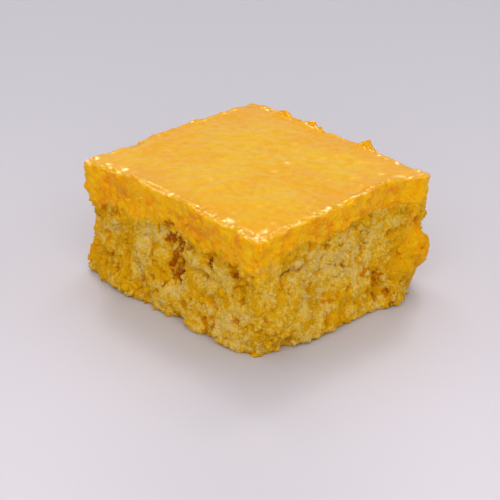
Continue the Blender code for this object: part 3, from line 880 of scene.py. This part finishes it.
# Relief: soft ripples on the top, beads on the edge, and the soaked crumb's own relief further down.
# The beads begin weakly on the outermost part of the top. Places past the rim are counted in stops.
BEADS_BEGIN, BEADS_GROW_OVER, BEADS_ON_TOP = 0.93, 0.06, 0.3
BEADS_FULL_AT = 2.2
SKIRT_BEGINS, SKIRT_GROWS_OVER = 2.5, 1.5
honey_surface = np.concatenate([honey_upper, honey_rim])
past_rim = np.concatenate([np.full(len(honey_upper), -1.0), down_rim])[:, None]
from_middle = np.concatenate([shrink[:-1, 0, 0], np.ones(RIM_ROWS + 1)])[:, None]
on_top_edge = BEADS_ON_TOP * np.clip((from_middle - BEADS_BEGIN) / BEADS_GROW_OVER, 0, 1)
edge_share = np.clip(np.clip(past_rim / BEADS_FULL_AT, 0, 1) + on_top_edge, 0, 1)
skirt_share = np.clip((past_rim - SKIRT_BEGINS) / SKIRT_GROWS_OVER, 0, 1)
ripple = RIPPLE * smooth_noise(honey_surface, RIPPLE_SIZE, seed=81)
ripple = ripple + SHIVER * smooth_noise(honey_surface, SHIVER_SIZE, seed=82)
bead = BEAD * soft_lump(honey_surface, BEAD_SIZE, seed=85)
bead = bead + WANDER * smooth_noise(honey_surface, WANDER_SIZE, seed=86)
stand = ripple * (1 - edge_share) + bead * edge_share * (1 - skirt_share)
stand = stand + soaked_relief(honey_surface) * skirt_share
honey_surface = honey_surface + surface_normals(honey_surface) * stand[..., None]

# The honey's hidden side, up behind the skirt and in under the top: inset and height.
under_profile = [
    (2.4 * MM, honey_ledge - 0.4 * tail),
    (2.4 * MM, 0.5 * CRUMB_TOP + 0.5 * honey_ledge),
    (3.6 * MM, CRUMB_TOP - 0.5 * MM),
    (14 * MM, CRUMB_TOP - 0.5 * MM),
]
honey_under = profile_rings(honey_plan, honey_outward, honey_amount, under_profile)
honey_rows = np.concatenate([honey_surface, honey_under]) + OUTLINE_MIDDLE
honey_points, honey_faces = closed_grid(honey_rows)


def for_each_point(row_values):
    """One value a row, repeated round it, with the first and last row's for the two middle points."""
    values = np.concatenate([row_values.ravel(), np.ones(len(honey_under))])
    return np.concatenate([np.repeat(values, HONEY_COLUMNS), values[[0, -1]]])


def on_the_skirt(grid_values):
    """A value for each point of the outer surface, and none beneath it or on the two middle points."""
    return np.concatenate([grid_values.ravel(), np.zeros(len(honey_under) * HONEY_COLUMNS + 2)])


honey_shine = np.interp(past_rim, [-1, 0, 1, 3.2, 4.5], [0.8, 0.8, 1.0, 1.0, 0.1])
# Deeper amber towards the rim, where the honey is thicker; the paler middle is partly painted sheen.
# Over the rim's beads it pales again, as thin honey and partly as a painted highlight.
deeper_amber_less_sheen = np.clip((from_middle - 0.5) / 0.5, 0, 1) ** 2 * np.clip(1 - past_rim / 2, 0, 1)
amber = sum_of_places(honey_walk + 0 * rim_heights, rim_heights, AMBER_PLACES)
amber = np.concatenate([np.zeros((len(honey_upper), HONEY_COLUMNS)), amber])
# The skirt's gaps, and its deeper amber places, are blended to the same orange as the painted shade in the
# crumb's gaps.
skirt_gap_shade = 0.45 * fine_relief(honey_surface)[1] + amber
honey = add_surface(
    "honey_skin",
    honey_points,
    honey_faces,
    {
        "skirt": for_each_point(np.clip(past_rim / 3.5, 0, 1)),
        "shine": for_each_point(honey_shine),
        "deep": for_each_point(deeper_amber_less_sheen),
        "painted_gap_shade": on_the_skirt(np.clip(skirt_gap_shade * skirt_share, 0, 1)),
    },
)

# The paler honey colour is partly a painted sheen.
HONEY_PALE_AND_SHEEN = (0.95, 0.565, 0.012, 1)
HONEY_DEEP = (0.94, 0.43, 0.001, 1)


def honey_material():
    """Amber mottled by noise, partly a painted sheen, and down the skirt the amber of soaked crumb."""
    material, tree, shader, coordinates = new_material("honey")
    mottle = stretch(tree, noise_texture(tree, coordinates, HONEY_MOTTLE_AND_SHEEN, 5.0), 0.38, 0.64, 0.0, 0.7)
    patches = stretch(tree, noise_texture(tree, coordinates, HONEY_PATCHES, 2.0), 0.40, 0.62, 0.0, 0.4)
    deep = stretch(tree, read_attribute(tree, "deep"), 0.0, 1.0, -0.025, 0.45)
    colour = blend_colours(tree, add_sockets(tree, mottle, patches, deep), HONEY_PALE_AND_SHEEN, HONEY_DEEP)
    skirt = read_attribute(tree, "skirt")
    colour = blend_colours(tree, skirt, colour, soaked_colour(tree, coordinates))
    # Orange painted shade in the skirt's gaps.
    colour = blend_colours(tree, gap_shade_share(tree), colour, ORANGE_GAP_SHADE)
    tree.links.new(colour, shader.inputs["Base Color"])
    shader.inputs["Specular IOR Level"].default_value = 0.3
    shader.inputs["Specular Tint"].default_value = WARM_GLOSS
    shine = read_attribute(tree, "shine")
    tree.links.new(stretch(tree, shine, 0.0, 1.0, 0.5, 0.16), shader.inputs["Roughness"])
    graininess = stretch(tree, skirt, 0.6, 1.0, 0.08, 1.0)
    fine = product(tree, noise_texture(tree, coordinates, HONEY_GRAIN, 3.0), graininess)
    tree.links.new(bump(tree, fine, BUMP_DEPTH, BUMP_STRENGTH), shader.inputs["Normal"])
    return material


set_honey = honey_material()
honey.data.materials.append(set_honey)
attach(honey, "root")
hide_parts("honey_glaze")

# The glazed bits
# Crumbs that the cutting left along the upper edge, each caught in the honey and shining.
# They are balls like the clinging crumbs, mostly sunk in, on the rim and its lumps and in the skirt.
BIT_COUNT, BIT_RADII, BIT_DENT = 170, (0.3 * MM, 0.8 * MM), 0.5
BITS_ON_LUMPS = 34
SKIRT_BIT_COUNT = 700
RIM_BIT_SUNK, SKIRT_BIT_SUNK = 0.8, 0.6


def glazed_bits(name, seed):
    """Scatters dented balls on the rim of three sides, round its small lumps and down the skirt."""
    random = np.random.default_rng(seed)
    spread = random.random(BIT_COUNT) * FACE_STARTS["left"]
    raised = [(face, along, half) for face, along, half, rise in RIM_LUMPS if rise > 1 and half < 3]
    gathered = [
        around(face, along) + half * MM * random.normal(size=BITS_ON_LUMPS) for face, along, half in raised
    ]
    on_skirt = random.random(SKIRT_BIT_COUNT) * PERIMETER
    walk = np.concatenate([on_skirt, spread, *gathered]) % PERIMETER
    count = len(walk)
    column = (walk / PERIMETER * HONEY_COLUMNS).astype(int) % HONEY_COLUMNS
    low = np.arange(count) < SKIRT_BIT_COUNT
    skirt_row = random.integers(RIM_ROWS // 2, RIM_ROWS - 5, count)
    rim_row = random.integers(0, RIM_ROWS // 3, count)
    row = len(honey_upper) + np.where(low, skirt_row, rim_row)
    radius = BIT_RADII[0] + (BIT_RADII[1] - BIT_RADII[0]) * random.random(count) ** 2
    outward = surface_normals(honey_surface)[row, column]
    sunk = np.where(low, SKIRT_BIT_SUNK, RIM_BIT_SUNK) * radius
    middles = honey_surface[row, column] - outward * sunk[:, None]
    points, faces, points_a_ball = dented_balls(random, middles, radius, 2, BIT_DENT, seed)
    wetness = np.where(low, 1.0, random.uniform(0.0, 0.4, count))
    attributes = {
        "skirt": np.repeat(wetness, points_a_ball),
        "shine": np.repeat(np.where(low, 0.1, 1.0), points_a_ball),
        "deep": np.zeros(len(points)),
        "painted_gap_shade": np.zeros(len(points)),
    }
    piece = add_surface(name, points + OUTLINE_MIDDLE, faces, attributes)
    piece.data.materials.append(set_honey)
    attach(piece, "root")


glazed_bits("glazed_bits", seed=303)

# The floor and the light
# A plain pale floor under a pale sky. A broad fill and two side lights light the matt look alone, and a
# large light and a low pale wall stand behind. The small windows show only as glints: the two behind
# draw the bright line along the near rims.
FLOOR_REACH = 3
floor_corners = [(x * FLOOR_REACH, y * FLOOR_REACH, 0) for x, y in ((-1, -1), (1, -1), (1, 1), (-1, 1))]
floor_mesh = bpy.data.meshes.new("floor")
floor_mesh.from_pydata(floor_corners, [], [(0, 1, 2, 3)])
floor = bpy.data.objects.new("floor", floor_mesh)
bpy.context.scene.collection.objects.link(floor)
floor_material, _, floor_shader, _ = new_material("pale_floor")
floor_shader.inputs["Base Color"].default_value = (0.62, 0.62, 0.72, 1)
floor_shader.inputs["Roughness"].default_value = 0.45
floor.data.materials.append(floor_material)

world = bpy.data.worlds.new("soft_sky")
world.use_nodes = True
world.node_tree.nodes["Background"].inputs["Color"].default_value = (1.0, 0.97, 0.93, 1)
world.node_tree.nodes["Background"].inputs["Strength"].default_value = 0.34
bpy.context.scene.world = world

# The camera looks at the serving's middle from its near corner, at the photograph's azimuth and elevation.
CAMERA_AZIMUTH, CAMERA_ELEVATION, CAMERA_ROLL = np.radians([46.69, 25.54, 0.57])
CAMERA_DISTANCE = 0.45
AIM_HEIGHT = 36.9 * MM / 2
FOCAL_PIXELS, FRAME_PIXELS = 1471.0, 500.0
SENSOR_WIDTH = 36.0
MIDDLE_AT_PIXEL = np.array([254.6, 222.7])


def direction(azimuth, elevation):
    """The unit vector towards an azimuth, counted from -Y towards +X, and an elevation."""
    flat = np.cos(elevation)
    return np.array([np.sin(azimuth) * flat, -np.cos(azimuth) * flat, np.sin(elevation)])


def look_along(obj, back, up_hint, roll=0.0):
    """Turns a camera or lamp so that it looks against `back`, level with the horizon but for its roll."""
    right = np.cross(up_hint, back)
    right = right / np.linalg.norm(right)
    up = np.cross(back, right)
    rolled_right = np.cos(roll) * right + np.sin(roll) * up
    rolled_up = np.cross(back, rolled_right)
    place = np.eye(4)
    place[:3, 0], place[:3, 1], place[:3, 2] = rolled_right, rolled_up, back
    place[:3, 3] = obj.location
    obj.matrix_world = Matrix(place.tolist())


def area_light(name, azimuth, elevation, distance, size, watts, colour, seen_in="all"):
    """A rectangular light that faces the serving, for its whole look, its glints or its matt look."""
    lamp = bpy.data.lights.new(name, "AREA")
    lamp.shape = "RECTANGLE"
    lamp.size, lamp.size_y = size
    lamp.energy = watts
    lamp.color = colour
    light = bpy.data.objects.new(name, lamp)
    bpy.context.scene.collection.objects.link(light)
    back = direction(np.radians(azimuth), np.radians(elevation))
    light.location = back * distance
    light.visible_diffuse = seen_in != "glints"
    light.visible_glossy = seen_in != "matt"
    look_along(light, back, (0, 0, 1))


area_light("left_window", 248, 45, 0.8, (0.16, 0.12), 2.2, (1.0, 0.84, 0.9), "glints")
area_light("right_window", 206, 46, 0.8, (0.16, 0.12), 2.5, (1.0, 0.84, 0.9), "glints")
area_light("far_left_window", 325, 40, 0.8, (0.10, 0.08), 1.6, (1.0, 0.96, 0.86), "glints")
area_light("far_right_window", 128, 40, 0.8, (0.10, 0.08), 1.6, (1.0, 0.96, 0.86), "glints")
area_light("near_window", 44, 34, 0.8, (0.30, 0.16), 0.7, (1.0, 0.96, 0.86), "glints")
area_light("back_wall", 226, 19, 1.0, (0.9, 0.2), 0.29, (1.0, 0.98, 0.96))
area_light("back_light", 226, 64, 1.2, (0.8, 0.6), 3.5, (1.0, 0.97, 0.92))
area_light("left_side", 306, 28, 1.2, (0.8, 0.6), 1.8, (1.0, 0.96, 0.9), "matt")
area_light("right_side", 142, 28, 1.2, (0.8, 0.6), 1.8, (1.0, 0.96, 0.9), "matt")
area_light("fill", 46.69, 37, 1.2, (1.5, 1.2), 9.5, (1.0, 0.96, 0.88), "matt")

camera_data = bpy.data.cameras.new("camera")
camera_data.sensor_fit = "HORIZONTAL"
camera_data.sensor_width = SENSOR_WIDTH
camera_data.lens = FOCAL_PIXELS / FRAME_PIXELS * SENSOR_WIDTH
camera_data.clip_start = 0.01
camera = bpy.data.objects.new("camera", camera_data)
bpy.context.scene.collection.objects.link(camera)
middle = OUTLINE_MIDDLE + (0, 0, AIM_HEIGHT)
back = direction(CAMERA_AZIMUTH, CAMERA_ELEVATION)
camera.location = middle + back * CAMERA_DISTANCE
off_centre = (MIDDLE_AT_PIXEL - FRAME_PIXELS / 2) / FOCAL_PIXELS
aim = direction(CAMERA_AZIMUTH + off_centre[0], CAMERA_ELEVATION - off_centre[1])
look_along(camera, aim, (0, 0, 1), CAMERA_ROLL)
bpy.context.scene.camera = camera
bpy.context.scene.view_settings.view_transform = "Standard"
